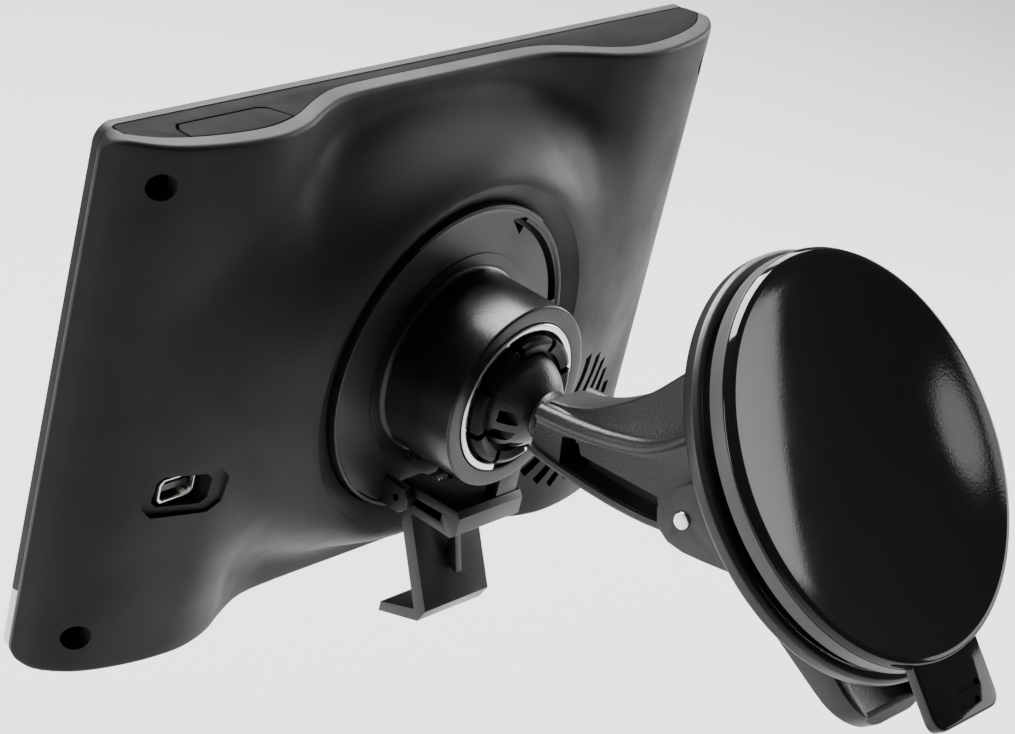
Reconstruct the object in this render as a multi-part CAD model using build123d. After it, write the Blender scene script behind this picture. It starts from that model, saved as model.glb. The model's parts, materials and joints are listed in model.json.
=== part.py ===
"""Portable GPS navigator on a windscreen suction mount.

Millimetres, +Z up. The screen faces -Y and the suction foot is behind it, on +Y.
The navigator is drawn about the middle of its screen face. On writing, everything is moved
so that the origin is the middle of the suction cup's sealing face.
"""
from build123d import *
import os
from math import atan2, cos, degrees, hypot, pi, radians, sin, sqrt

os.makedirs("parts", exist_ok=True)

# ---------------------------------------------------------------- driving dimensions
# navigator
BODY_W = 141.0  # X
BODY_H = 90.0  # Z
CORNER_R = 3.0
WALL = 2.0
SEAM_Y = 1.5  # parting line between front frame and back cover
MID_Y = 7.0  # depth of the thin middle of the top and bottom edges
LOBE_Y = 13.4  # depth of the two lobes
LOBE_X = 47.0  # where a lobe is deepest
LOBE_START = 26.0  # where a lobe begins
LOBE_REACH = 25.3  # half width of the shoulder outside a lobe's peak
LOBE_POWER = 2.4  # 2 makes the shoulder a quarter ellipse, more makes it squarer
DOME_Y = 20.5  # depth of the raised middle of the back
DOME_R = 31.0
DOME_REACH_X = 66.0  # where the dome's flank has run out, sideways
DOME_REACH_Z = 43.0  # and up and down
EDGE_BAND = 2.3  # width of the rounded rim along the top panel
CHIN_Z = -33.5  # top of the silver strip
SCREW_X, SCREW_Z = 65.5, 38.4
USB_X, USB_Z = 52.5, -13.6
SPEAKER_X, SPEAKER_Z = -40.0, -21.0

# mount head, all on the Y axis
DISC_R = 26.9
DISC_Y = 20.1
WELL_R = 27.3
RECESS_R = 30.7
BOSS_R = 16.05
BOSS_Y = 34.3
SOCKET_R = 12.0
BALL_Y = 33.0
BALL_R = 8.5
RUN = 0.05  # radial gap of the spherical faces that turn on each other

# release lever
RELEASE_Y, RELEASE_Z = 22.8, -22.0
RELEASE_HALF = 8.0

# suction foot: the cup's axis leans up from +Y
CUP_Y, CUP_Z = 98.7, 23.0
CUP_LEAN = 42.5
CUP_R = 32.0
PLATE_R = 33.2
PIN_DEPTH = 31.0  # lever pin behind the sealing face
LEVER_HALF = 10.0
ARM_HALF = 7.2

cup_plane = Plane(
    origin=(0, CUP_Y, CUP_Z),
    x_dir=(1, 0, 0),
    z_dir=(0, cos(radians(CUP_LEAN)), sin(radians(CUP_LEAN))),
)


# ---------------------------------------------------------------- helpers
def block(x0, x1, y0, y1, z0, z1):
    """Box between two corners."""
    middle = ((x0 + x1) / 2, (y0 + y1) / 2, (z0 + z1) / 2)
    return Pos(*middle) * Box(abs(x1 - x0), abs(y1 - y0), abs(z1 - z0))


def drum(r, y0, y1, x=0, z=0):
    """Cylinder along Y."""
    return Pos(x, (y0 + y1) / 2, z) * Rot(90, 0, 0) * Cylinder(r, abs(y1 - y0))


def ring(r_out, r_in, y0, y1):
    """Tube along Y, round the mount head's axis."""
    return drum(r_out, y0, y1) - drum(r_in, y0 - 1, y1 + 1)


def rod_x(r, x0, x1, y, z):
    """Cylinder along X."""
    return Pos((x0 + x1) / 2, y, z) * Rot(0, 90, 0) * Cylinder(r, abs(x1 - x0))


def turned(points):
    """Solid of revolution about the Y axis from (radius, y) corners."""
    return revolve(Plane.XY * make_face(Polyline(*points, close=True)), Axis.Y)


def sector(r, y0, y1, mid_angle, span):
    """Wedge of a disc along Y, its middle at an angle from +X towards +Z."""
    a0, a1 = radians(mid_angle - span / 2), radians(mid_angle + span / 2)
    far = 1.6 * r
    corners = [(0, 0), (far * cos(a0), far * sin(a0)), (far * cos(a1), far * sin(a1))]
    wedge = extrude(Plane.XZ * make_face(Polyline(*corners, close=True)), amount=-(y1 - y0))
    return Pos(0, y0, 0) * wedge & drum(r, y0, y1)


def footprint(inset, y0, y1):
    """The navigator's rounded outline, inset all round, as a slab along Y."""
    r = max(CORNER_R - inset, 1.0)
    outline = RectangleRounded(BODY_W - 2 * inset, BODY_H - 2 * inset, r)
    return Pos(0, y0, 0) * extrude(Plane.XZ * outline, amount=-(y1 - y0))


def side_slab(points, x0, x1):
    """Plate across X from (y, z) corners."""
    return Pos(x0, 0, 0) * extrude(Plane.YZ * make_face(Polyline(*points, close=True)), amount=x1 - x0)


def ease(t):
    """Smooth step from 0 to 1."""
    t = min(max(t, 0.0), 1.0)
    return t * t * (3 - 2 * t)


def screw(length, head_r, head_h, shank_r):
    """Cross-head screw along Z, its head's top at z=0."""
    body = Pos(0, 0, -head_h / 2) * Cylinder(head_r, head_h)
    body += Pos(0, 0, -(head_h + length) / 2) * Cylinder(shank_r, length + head_h)
    slot = Box(head_r * 1.3, head_r * 0.3, head_h)
    return body - slot - Rot(0, 0, 90) * slot


def save(name, made):
    """Write one node, moved so that the origin is the middle of the sealing face."""
    pieces = made if isinstance(made, list) else [made]
    solids = [solid for piece in pieces for solid in piece.solids()]
    placed = Pos(0, -CUP_Y, -CUP_Z) * (solids[0] if len(solids) == 1 else Compound(children=solids))
    placed.label = name
    export_step(placed, f"parts/{name}.step")


# ---------------------------------------------------------------- shape of the back
def edge_depth(x):
    """Depth along the top and bottom edges: thin in the middle, with a lobe on each side."""
    a = abs(x)
    if a <= LOBE_X:
        return MID_Y + (LOBE_Y - MID_Y) * ease((a - LOBE_START) / (LOBE_X - LOBE_START))
    return LOBE_Y * sqrt(max(1 - ((a - LOBE_X) / LOBE_REACH) ** LOBE_POWER, 0.02))


def back_depth(x, z):
    """Depth of the back surface: the edge depth, raised to a round plateau in the middle."""
    r = hypot(x, z)
    if r <= DOME_R:
        return DOME_Y
    reach = r / hypot(x / DOME_REACH_X, z / DOME_REACH_Z)
    rise = 1 - ease((r - DOME_R) / (reach - DOME_R))
    return edge_depth(x) + (DOME_Y - edge_depth(x)) * rise


def under_back(blank, count_x=31, count_z=23):
    """The part of a slab that lies in front of the back surface."""
    half_x, half_z = BODY_W / 2 + 0.3, BODY_H / 2 + 0.3
    crowding = 0.45 * pi  # closer columns near the sides, where the surface falls faster
    grid = []
    for i in range(count_x):
        x = half_x * sin(crowding * (2 * i / (count_x - 1) - 1)) / sin(crowding)
        rows = [half_z * (2 * j / (count_z - 1) - 1) for j in range(count_z)]
        grid.append([Vector(x, back_depth(x, z), z) for z in rows])
    surface = Face.make_surface_from_array_of_points(grid, tol=0.03, min_deg=3, max_deg=3)
    pieces = split(blank, bisect_by=surface, keep=Keep.BOTH)
    in_front = [s for s in pieces.solids() if s.bounding_box().min.Y < SEAM_Y + 0.1]
    return max(in_front, key=lambda s: s.volume)


def panel_outline(gap):
    """Outline of the top panel seen from above, in (x, y): straight in front, lobed behind."""
    half = BODY_W / 2 - 2.4 - gap
    front = SEAM_Y + gap
    xs = [half * (1 - 2 * i / 24) for i in range(25)]
    rear = [(x, edge_depth(x) - EDGE_BAND - gap) for x in xs]
    edges = Spline(*rear) + Line(rear[-1], (-half, front)) + Line((-half, front), (half, front))
    return make_face(edges + Line((half, front), rear[0]))


def button_outline(grow, rear_grow):
    """Outline of the power button in (x, y), grown all round; its rear follows the rim."""
    x0, x1, y0 = 38.5 - grow, 60.2 + grow, 4.8 - grow
    xs = [x0 + (x1 - x0) * i / 8 for i in range(9)]
    rear = [(x, edge_depth(x) - EDGE_BAND - 0.1 + rear_grow) for x in xs]
    front = [rear[-1], (x1 - 3.2, y0 + 1.0), (x1 - 5.8, y0), (x0 + 3.6, y0), (x0 + 1.8, y0 + 0.7), rear[0]]
    return make_face(Spline(*rear) + Polyline(*front))


def screw_places():
    """Middles of the four corner screws in (x, z)."""
    return [(sx * SCREW_X, sz * SCREW_Z) for sx in (-1, 1) for sz in (-1, 1)]


def usb_outline(width, height, cut):
    """Rectangle with cut corners in (x, z) about the USB socket."""
    w, h = width / 2, height / 2
    corners = [(-w + cut, -h), (w - cut, -h), (w, -h + cut), (w, h - cut)]
    corners += [(w - cut, h), (-w + cut, h), (-w, h - cut), (-w, -h + cut)]
    return make_face(Polyline(*corners, close=True))


def along_y(outline, y0, y1, x=0, z=0):
    """Extrude an (x, z) outline along Y. The drawing plane shows x to the right and z up."""
    plane = Plane(origin=(x, y0, z), x_dir=(1, 0, 0), z_dir=(0, -1, 0))
    return extrude(plane * outline, amount=-(y1 - y0))


# ---------------------------------------------------------------- navigator
def hollow():
    """Room inside the back cover, in steps that follow its depth."""
    room = footprint(WALL, SEAM_Y, 4.8) + block(-62, 62, SEAM_Y, 6.4, -35.6, 35.6)
    room += block(-57, 57, SEAM_Y, 8.4, -30, 30) + block(-46, 46, SEAM_Y, 11.4, -24, 24)
    room += block(-10, 10, SEAM_Y, 11.4, 20, 33) + drum(9.6, SEAM_Y, 11.7, SPEAKER_X, SPEAKER_Z)
    for side in (-1, 1):
        room += block(side * 41, side * 56, SEAM_Y, 10.0, -BODY_H / 2 + WALL, BODY_H / 2 - WALL)
    room += drum(20.0, 11, 13)
    for x, z in screw_places():
        room -= drum(3.8, 4.4, 31, x, z)
    return room


def back_cover():
    """Shell with the disc's well, screw wells, USB recess, speaker slots and panel window."""
    blank = footprint(0, SEAM_Y, 30) - hollow() - drum(WELL_R, 12.6, 31)
    blank -= turned([(0, 31), (RECESS_R, 31), (RECESS_R, DOME_Y - 0.2), (WELL_R, 18.9), (0, 18.9)])
    blank -= Pos(0, 0, BODY_H / 2 - WALL - 0.1) * extrude(panel_outline(0), amount=WALL + 0.2)
    blank -= Pos(0, 0, BODY_H / 2 - WALL - 0.8) * extrude(button_outline(0.1, 0.15), amount=1.0)
    for x, z in screw_places():
        blank -= drum(2.15, 5.6, 31, x, z) + drum(1.25, 1, 6, x, z)
    usb_floor = back_depth(USB_X, USB_Z) - 2.2
    blank -= along_y(usb_outline(15, 8.5, 2.2), usb_floor, 31, USB_X, USB_Z)
    blank -= along_y(usb_outline(8.3, 4.7, 0.8), 6, 31, USB_X, USB_Z)
    for k in range(5):
        blank -= speaker_slot(45.6 + 2.3 * k, -14 - 1.2 * k, -44 + 1.4 * k)
    return under_back(blank)


def speaker_slot(r, from_angle, to_angle):
    """Arc-shaped slot round the mount head's axis, on the -X side."""
    middle, span = 180 - (from_angle + to_angle) / 2, from_angle - to_angle
    return sector(r + 0.55, 11, 22, middle, span) - drum(r - 0.55, 10, 23)


def front_frame():
    """Bezel round the screen with a skirt that plugs into the back cover and four screw posts."""
    frame = footprint(0, 0, SEAM_Y)
    frame += footprint(WALL + 0.15, SEAM_Y, 3.6) - footprint(WALL + 1.35, SEAM_Y - 1, 5)
    frame -= block(-56.5, 56.5, -1, 5, -32.5, 35.5)
    frame -= block(-80, 80, -1, SEAM_Y, -50, CHIN_Z)
    frame -= block(-61.5, 61.5, SEAM_Y - 0.4, SEAM_Y + 1, -36.5, 39)
    for x, z in screw_places():
        frame += drum(2.9, SEAM_Y, 4.4, x, z)
        frame -= drum(0.95, 2.4, 5, x, z)
    return frame


def lower_trim():
    """Silver strip across the bottom of the front."""
    strip = footprint(0, 0, SEAM_Y) & block(-80, 80, -1, SEAM_Y, -50, CHIN_Z)
    return strip - block(-61.5, 61.5, SEAM_Y - 0.4, SEAM_Y + 1, -36.5, -30)


def top_panel():
    """Flat panel let into the top edge, with a hole for the power button."""
    panel = Pos(0, 0, BODY_H / 2 - WALL) * extrude(panel_outline(0.12), amount=WALL)
    return panel - Pos(0, 0, BODY_H / 2 - 5) * extrude(button_outline(0, 0.15), amount=8)


def power_button():
    """Button with a wider foot under the panel and a stem over the switch."""
    under = BODY_H / 2 - WALL
    button = Pos(0, 0, under) * extrude(button_outline(-0.2, -0.1), amount=WALL)
    button += block(44, 54, 5.6, 9.4, under - 0.6, under + 0.4) + block(42.5, 55.5, 4.0, 9.6, under - 1, under - 0.1)
    return button + block(47.6, 50.4, 6.4, 8.2, under - 3.4, under - 0.5)


def screen_glass():
    return block(-61, 61, SEAM_Y - 0.35, SEAM_Y + 0.75, -36, 38.5)


def lcd_panel():
    return block(-60, 60, SEAM_Y + 0.75, 4.1, -35, 37.5)


def display_frame():
    """Folded sheet-metal tray behind the LCD with four spacers for the board."""
    tray = block(-60.6, 60.6, 4.1, 4.5, -35.6, 38.1)
    tray += block(-60.6, -60.2, 2.6, 4.5, -35.6, 38.1) + block(60.2, 60.6, 2.6, 4.5, -35.6, 38.1)
    for x in (-50, 50):
        for z in (-32, 32):
            tray += drum(2.2, 4.5, 5.2, x, z)
    return tray


def main_board():
    """Circuit board with shield can, processor and connector blocks."""
    board = block(-54, 60, 5.2, 6.2, -35, 35) + block(44, 54, 5.2, 6.2, 35, 38.2)
    board += block(-52, -30, 6.2, 8.2, 2, 28) + block(32, 50, 6.2, 7.6, 6, 26)
    board += block(-24, -12, 6.2, 7.4, 18, 30)
    return board


def battery():
    cell = block(-27, 27, 6.2, 11.2, -19, 15)
    return fillet(cell.edges().filter_by(Axis.Z), 1.2)


def speaker():
    """Small loudspeaker: round basket with a magnet behind and a dished cone."""
    body = drum(9.0, 8.4, 10.4, SPEAKER_X, SPEAKER_Z) + drum(5.5, 6.3, 8.4, SPEAKER_X, SPEAKER_Z)
    return body - drum(7.4, 9.9, 11, SPEAKER_X, SPEAKER_Z) + drum(2.6, 9.4, 10.3, SPEAKER_X, SPEAKER_Z)


def speaker_gasket():
    return drum(9.0, 10.4, 11.6, SPEAKER_X, SPEAKER_Z) - drum(7.4, 10, 12, SPEAKER_X, SPEAKER_Z)


def gps_antenna():
    """Square ceramic patch with its silvered face and feed pin."""
    return block(-8, 8, 6.2, 9.8, 17, 32) + block(-6, 6, 9.8, 9.9, 19, 30) + drum(0.8, 9.9, 10.3, 1, 25)


def power_switch():
    """Push switch under the power button, on a tongue of its own."""
    return block(46, 52, 6.2, 8.8, 35, 38.2) + block(47.8, 50.2, 6.6, 8.2, 38.2, 39.0)


def usb_socket():
    shell = along_y(usb_outline(7.8, 4.2, 0.7), 6.2, 13.2, USB_X, USB_Z)
    return shell - along_y(usb_outline(7.0, 3.4, 0.6), 7.0, 14, USB_X, USB_Z)


def usb_contacts():
    """Plastic tongue with five contact strips."""
    tongue = block(USB_X - 2.6, USB_X + 2.6, 7.0, 12.4, USB_Z - 0.5, USB_Z + 0.6)
    for k in range(-2, 3):
        x = USB_X + 0.95 * k
        tongue += block(x - 0.25, x + 0.25, 7.2, 12.2, USB_Z + 0.6, USB_Z + 0.75)
    return tongue


def case_screws():
    """Four cross-head screws, heads down in their wells."""
    pattern = Rot(-90, 0, 0) * screw(2.2, 1.9, 1.4, 0.9)
    return [Pos(x, 7.0, z) * pattern for x, z in screw_places()]


def bayonet_ring():
    """Socket plate with three ledges that the mount disc's lugs turn under."""
    socket = drum(27.2, 12.6, 13.6) + ring(27.2, 25.4, 13.6, 16.2)
    for angle in (90, 210, 330):
        socket += sector(26, 15.2, 16.2, angle, 40) - drum(22.6, 15, 17)
    return socket


# ---------------------------------------------------------------- mount head
def mount_disc():
    """Disc with its rim, hub, three lugs and the two cheeks that carry the release lever."""
    disc = drum(DISC_R, 16.6, DISC_Y) - drum(24.7, 19.5, 21)
    disc += drum(22.2, 14.0, 16.6)
    for angle in (90, 210, 330):
        disc += sector(24.9, 14.0, 15.0, angle, 36) - drum(21, 13, 16)
    for side in (-1, 1):
        cheek = [(19.3, -19.4), (24.2, -19.8), (25.2, -21.2), (25.2, -23.2), (24.0, -24.3), (19.3, -24.4)]
        disc += side_slab(cheek, side * 9.9, side * 8.3)
    for angle in disc_screw_angles():
        x, z = 14.1 * cos(radians(angle)), 14.1 * sin(radians(angle))
        disc -= drum(2.1, 13, 15.6, x, z) + drum(1.15, 13, 20, x, z)
    return disc - rod_x(0.8, -11, 11, RELEASE_Y, RELEASE_Z) - arrow_groove()


def disc_screw_angles():
    return (30, 150, 270)


def arrow_groove():
    """Curved turning arrow cut into the disc's face on its upper -X side."""
    r = 23.3
    tail = sector(r + 0.35, 19.2, 20, 136, 54) - drum(r - 0.35, 19, 21)
    tip = radians(103)
    root = radians(112)
    corners = [(r * cos(tip), r * sin(tip))]
    for reach in (-1.5, 1.3):
        corners.append(((r + reach) * cos(root), (r + reach) * sin(root)))
    head = extrude(Plane(origin=(0, 19.2, 0), x_dir=(1, 0, 0), z_dir=(0, -1, 0))
                   * make_face(Polyline(*corners, close=True)), amount=-0.8)
    return tail + head


def ball_housing():
    """Round boss: flared foot on the disc, bore for the socket, step for the retaining ring."""
    foot = [(0, 19.5), (18.6, 19.5), (18.2, 20.6), (17.0, 21.4), (BOSS_R, 22.4)]
    mouth = [(BOSS_R, 33.9), (BOSS_R - 0.4, BOSS_Y), (13.1, BOSS_Y), (13.1, 33.35), (12.1, 33.35)]
    housing = turned(foot + mouth + [(12.1, 21.6), (0, 21.6)])
    for angle in disc_screw_angles():
        housing -= drum(0.9, 19, 26.4, 14.1 * cos(radians(angle)), 14.1 * sin(radians(angle)))
    return housing


def retaining_ring():
    """Open spring ring that holds the ball socket in the housing, its gap at the bottom."""
    gap = sector(15, 32, 36, 262, 34)
    return ring(13.0, 11.8, 33.4, 34.5) - gap


def disc_spring():
    """Coned spring washer that presses the socket on the ring."""
    return turned([(6.5, 23.2), (11.2, 21.65), (11.2, 22.3), (6.5, 23.85)])


def disc_screws():
    pattern = Rot(90, 0, 0) * screw(9.0, 2.0, 1.3, 0.85)
    places = [(14.1 * cos(radians(a)), 14.1 * sin(radians(a))) for a in disc_screw_angles()]
    return [Pos(x, 14.2, z) * pattern for x, z in places]


def turned_round_ball(points, inner_r=0.0, outer_r=99.0):
    """Solid of revolution about Y, kept between two spheres round the ball's middle."""
    half = make_face(Polyline(*points, close=True)) & Pos(0, BALL_Y) * Circle(outer_r)
    return revolve(Plane.XY * (half - Pos(0, BALL_Y) * Circle(inner_r)), Axis.Y)


def ball_socket():
    """Slotted collet round the ball; the fingers end inside the retaining ring."""
    outline = [(0, 23.95), (SOCKET_R, 23.95), (SOCKET_R, 33.2), (11.3, 33.2), (11.0, 35.9), (0, 35.9)]
    collet = turned_round_ball(outline, inner_r=BALL_R + 0.8 + RUN)
    for k in range(8):
        collet -= Rot(0, 22.5 + 45 * k, 0) * block(-0.6, 0.6, 28.5, 37, 7, 13)
    return collet


def ball_liner():
    """Thin cup between ball and socket."""
    outline = [(2, 20), (12, 20), (12, 34.6), (2, 34.6)]
    return turned_round_ball(outline, inner_r=BALL_R + RUN, outer_r=BALL_R + 0.8)


def release_lever():
    """Sprung lever under the housing: hub, two legs joined by a bar, hanging plate with a foot."""
    half = RELEASE_HALF
    hub = rod_x(2.3, -half, half, RELEASE_Y, RELEASE_Z)
    upper = side_slab([(22.4, -19.7), (33, -19.4), (33, -21.1), (22.4, -21.4)], -half, half)
    lower = side_slab([(22.4, -22.8), (33, -22.6), (33, -24.3), (22.4, -24.3)], -half, half)
    bar = side_slab([(31.2, -19.4), (34.0, -19.4), (34.8, -20.4), (34.8, -23.4), (33.8, -24.4), (31.2, -24.3)],
                    -half, half)
    plate = side_slab([(22.6, -24.2), (24.8, -23.6), (32.6, -39.2), (31.4, -41.6), (30.2, -39.9)], -half, half)
    foot = side_slab([(31.4, -41.6), (30.2, -39.9), (23.3, -42.2), (23.3, -44.0)], -half, half)
    rib = side_slab([(27.0, -24.2), (28.4, -24.2), (31.6, -34.3), (29.6, -34.0)], -0.7, 0.7)
    post = block(-7, -2, 31.4, 33.8, -19.6, -15.0)
    lever = hub + upper + lower + bar + plate + foot + rib + post
    lever -= rod_x(0.85, -11, 11, RELEASE_Y, RELEASE_Z) + drum(BOSS_R + 0.15, 20, 36)
    lever -= block(-2.6, 2.6, 19, 25.6, -25, -19)
    return lever


def release_pin():
    return rod_x(0.78, -9.9, 9.9, RELEASE_Y, RELEASE_Z)


def release_spring():
    """Torsion spring on the pin, between the two halves of the lever's hub."""
    wire, mean_r, turns, pitch = 0.3, 1.45, 5, 0.75
    path = Helix(pitch=pitch, height=turns * pitch, radius=mean_r)
    start = Plane(origin=path @ 0, z_dir=path % 0)
    coil = sweep(start * Circle(wire), path=path)
    return Pos(-turns * pitch / 2, RELEASE_Y, RELEASE_Z) * Rot(0, 90, 0) * coil


# ---------------------------------------------------------------- suction foot
def cup_point(down, out):
    """(y, z) of a point given down the cup's face and outward along its axis."""
    c, s = cos(radians(CUP_LEAN)), sin(radians(CUP_LEAN))
    return (CUP_Y + out * c + down * s, CUP_Z + out * s - down * c)


def cup_turned(points):
    """Solid of revolution about the cup's axis from (radius, out) corners."""
    return cup_plane * revolve(Plane.XZ * make_face(Polyline(*points, close=True)), Axis.Z)


def cup_post(r, out0, out1):
    return cup_plane * Pos(0, 0, (out0 + out1) / 2) * Cylinder(r, abs(out1 - out0))


def cup_slab(points, x0, x1):
    """Plate across X from (down, out) corners."""
    return side_slab([cup_point(down, out) for down, out in points], x0, x1)


def suction_cup():
    """Rubber cup: flat sealing lip round a shallow dish, hollow stem, pull tab."""
    face = [(0, -1.0), (14, -0.75), (26.5, 0), (31.3, 0), (31.9, -0.7), (CUP_R, -3.8), (31.3, -4.4)]
    back = [(13, -4.5), (10.5, -5.4), (10.5, -12.8), (3.7, -12.8), (3.7, -11.1), (8, -11.1), (8, -4.6), (0, -4.6)]
    tab_outline = RectangleRounded(17, 14, 2.6)
    tab = cup_plane * Pos(0, 34.2, -2.6) * extrude(tab_outline, amount=2.2)
    return cup_turned(face + back) + tab


def plate_back():
    """(radius, out) corners of the base plate's rear, from the axis to the rim."""
    return [(14.5, -16), (15.5, -11.5), (18.5, -9.2), (22, -8.6), (32.2, -8.4)]


def base_plate():
    """Round plate behind the cup with a raised rim and a hub for the cup's stem."""
    front = [(PLATE_R, -7.7), (PLATE_R, -6.0), (32.6, -5.4), (31.4, -5.4), (31.0, -6.2)]
    hub = [(11.2, -6.6), (11.2, -14.2), (3.4, -14.2), (3.4, -16)]
    plate = cup_turned(plate_back() + front + hub)
    for down in base_screw_places():
        plate -= cup_plane * Pos(0, down, -8) * Cylinder(1.2, 30)
    return plate


def base_screw_places():
    """How far down the cup's face each screw stands; both are above the axis."""
    return (-21.5, -17.4)


def base_screws():
    pattern = screw(5.0, 2.0, 1.3, 0.9)
    return [cup_plane * Pos(0, down, -5.0) * pattern for down in base_screw_places()]


def arm():
    """Ribbed arm from the ball to the base plate, with the tower that carries rod and lever."""
    ridge = [(43.5, 4.9), (44.6, 5.0), (51.2, 5.8), (58.8, 7.4), (65.5, 10.0), (72, 15.6), (80, 26)]
    tower = [cup_point(12, -8), cup_point(12, -16), cup_point(7.2, -24), cup_point(4.6, -31),
             cup_point(3.4, -34.1), cup_point(0, -35.6), (70.6, -2.9)]
    underside = [(65.9, -3.2), (55.4, -3.4), (49.1, -3.0), (43.5, -2.9)]
    beam = side_slab(ridge + tower + underside, -ARM_HALF, ARM_HALF)
    crown = [(41.5, 4.0), (43.8, 5.0), (47.3, 5.8), (51.6, 7.8), (55.1, 10.1), (58.1, 12.5), (61.1, 15.4),
             (63.9, 18.8), (67.5, 23.5), (71, 28.5), cup_point(-25.5, -8)]
    spine = side_slab(crown + [cup_point(0, -8), (72, 2), (50, 1)], -4.2, 4.2)
    body = beam + spine + drum(4.2, 36, 46, 0, 0.9) + Pos(0, BALL_Y, 0) * Sphere(BALL_R)
    pocket = [(48.4, 1.4), (52.5, 2.6), (66.6, 6.4), (68.6, 5.0), (68.4, -0.6), (66, -1.5), (49.6, -1.6)]
    body -= side_slab(pocket, 3.0, 9) + side_slab(pocket, -9, -3.0)
    body -= block(-2.2, 2.2, 33.5, 37.5, -9, -3) + block(3.4, 9, 31.0, 34.5, -6.5, -2.2)
    body -= cup_turned([(0, -16)] + plate_back() + [(60, -8.4), (60, 20), (0, 20)])
    body -= cup_post(3.4, -14, -38) + cup_post(5.2, -16, -26)
    body -= cup_slab([(-1.7, -33.2), (1.7, -33.2), (1.7, -26.5), (-1.7, -26.5)], -9, 9)
    for down in base_screw_places():
        body -= cup_plane * Pos(0, down, -8) * Cylinder(0.95, 12)
    return body


def rod_spring():
    """Compression spring that pushes the pull rod out when the lever is open."""
    wire, mean_r, turns, pitch = 0.35, 4.3, 4, 1.3
    path = Helix(pitch=pitch, height=turns * pitch, radius=mean_r)
    coil = sweep(Plane(origin=path @ 0, z_dir=path % 0) * Circle(wire), path=path)
    return cup_plane * Pos(0, 0, -25.6) * coil


def pull_rod():
    """Rod from the cup's core to the lever pin, with the collar that its spring bears on."""
    rod = cup_post(3.2, -34, -9) + cup_post(7.6, -10.8, -9.0) + cup_post(4.7, -20, -19.1)
    y, z = cup_point(0, -PIN_DEPTH)
    return rod - rod_x(1.47, -9, 9, y, z)


def lever_pin():
    y, z = cup_point(0, -PIN_DEPTH)
    return rod_x(1.45, -10.4, 10.4, y, z)


def lock_lever():
    """Lever with two ears on the pin and a dished blade that lies under the base plate."""
    ear = [(-5, -30.8), (-4.6, -27), (-3.5, -24.4), (6, -21.5), (14, -18.5), (26, -14.6), (36, -12.3),
           (38, -13.6), (37.6, -15.5), (30, -18.4), (20, -21.8), (9.5, -26), (6.9, -29.9), (4.6, -33.1),
           (2.3, -35.2), (-0.4, -36), (-2.9, -34.8), (-4.5, -33)]
    blade = [(12, -25), (20, -21.8), (30, -18.4), (37.6, -15.5), (38, -13.6), (36.4, -12.9), (35.8, -14.4),
             (29.5, -16.7), (19.5, -20.0), (12, -23.2)]
    inner = ARM_HALF + 0.4
    lever = cup_slab(ear, inner, LEVER_HALF) + cup_slab(ear, -LEVER_HALF, -inner)
    lever += cup_slab(blade, -inner - 0.5, inner + 0.5)
    lever -= cup_plane * Pos(0, 0, -24) * (block(-20, 20, 20, 60, -30, 30) - tip_outline())
    y, z = cup_point(0, -PIN_DEPTH)
    return lever - rod_x(1.5, -12, 12, y, z)


def tip_outline():
    """Rounded end of the lever, seen along the cup's axis."""
    outline = RectangleRounded(2 * LEVER_HALF, 60, 6.5)
    return Pos(0, 38 - 30, -30) * extrude(outline, amount=60)


NODES = [back_cover, front_frame, lower_trim, top_panel, power_button, screen_glass, lcd_panel, display_frame,
         main_board, battery, speaker, speaker_gasket, gps_antenna, power_switch, usb_socket, usb_contacts,
         case_screws, bayonet_ring, mount_disc, ball_housing, retaining_ring, disc_spring, disc_screws,
         ball_socket, ball_liner, release_lever, release_pin, release_spring, suction_cup, base_plate,
         base_screws, arm, rod_spring, pull_rod, lever_pin, lock_lever]

for make in NODES:
    save(make.__name__, make())
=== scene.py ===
"""Looks of a portable GPS navigator on its windscreen mount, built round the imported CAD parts.

Shapes are drawn in millimetres about the middle of the screen face: +X left seen from behind,
+Y out of the back, +Z up. The suction cup and its base plate are drawn along the cup's own axis.
"""
import json
from math import cos, hypot, pi, radians, sin, sqrt

import bmesh
import bpy
import numpy as np
from mathutils import Matrix, Quaternion, Vector


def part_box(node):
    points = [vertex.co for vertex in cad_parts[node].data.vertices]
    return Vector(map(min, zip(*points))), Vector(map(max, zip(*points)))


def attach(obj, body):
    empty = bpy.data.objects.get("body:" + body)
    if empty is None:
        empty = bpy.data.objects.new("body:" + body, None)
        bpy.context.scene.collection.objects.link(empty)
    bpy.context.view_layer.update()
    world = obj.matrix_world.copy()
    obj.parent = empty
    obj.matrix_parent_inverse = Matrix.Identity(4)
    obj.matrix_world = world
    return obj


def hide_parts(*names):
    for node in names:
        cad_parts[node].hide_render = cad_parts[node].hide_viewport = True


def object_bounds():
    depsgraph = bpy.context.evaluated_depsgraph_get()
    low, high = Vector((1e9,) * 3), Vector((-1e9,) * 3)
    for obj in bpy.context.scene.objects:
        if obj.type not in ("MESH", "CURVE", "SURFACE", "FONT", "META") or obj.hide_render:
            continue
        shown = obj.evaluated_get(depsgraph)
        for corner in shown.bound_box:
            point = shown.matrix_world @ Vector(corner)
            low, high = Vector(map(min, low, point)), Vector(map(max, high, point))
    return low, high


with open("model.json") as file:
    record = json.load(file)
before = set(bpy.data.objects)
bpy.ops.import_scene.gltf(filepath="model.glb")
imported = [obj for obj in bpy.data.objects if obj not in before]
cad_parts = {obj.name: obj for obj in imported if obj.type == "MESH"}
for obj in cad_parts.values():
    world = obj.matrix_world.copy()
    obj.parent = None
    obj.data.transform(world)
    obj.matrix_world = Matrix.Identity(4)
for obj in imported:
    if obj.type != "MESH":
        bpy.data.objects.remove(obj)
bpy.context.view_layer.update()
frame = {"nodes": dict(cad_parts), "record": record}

MM = 0.001
cover_low, cover_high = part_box("back_cover")
HOME = Vector((0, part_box("front_frame")[0].y, (cover_low.z + cover_high.z) / 2))
mounts = {m["name"]: m for m in frame["record"]["mounts"]}
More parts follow.
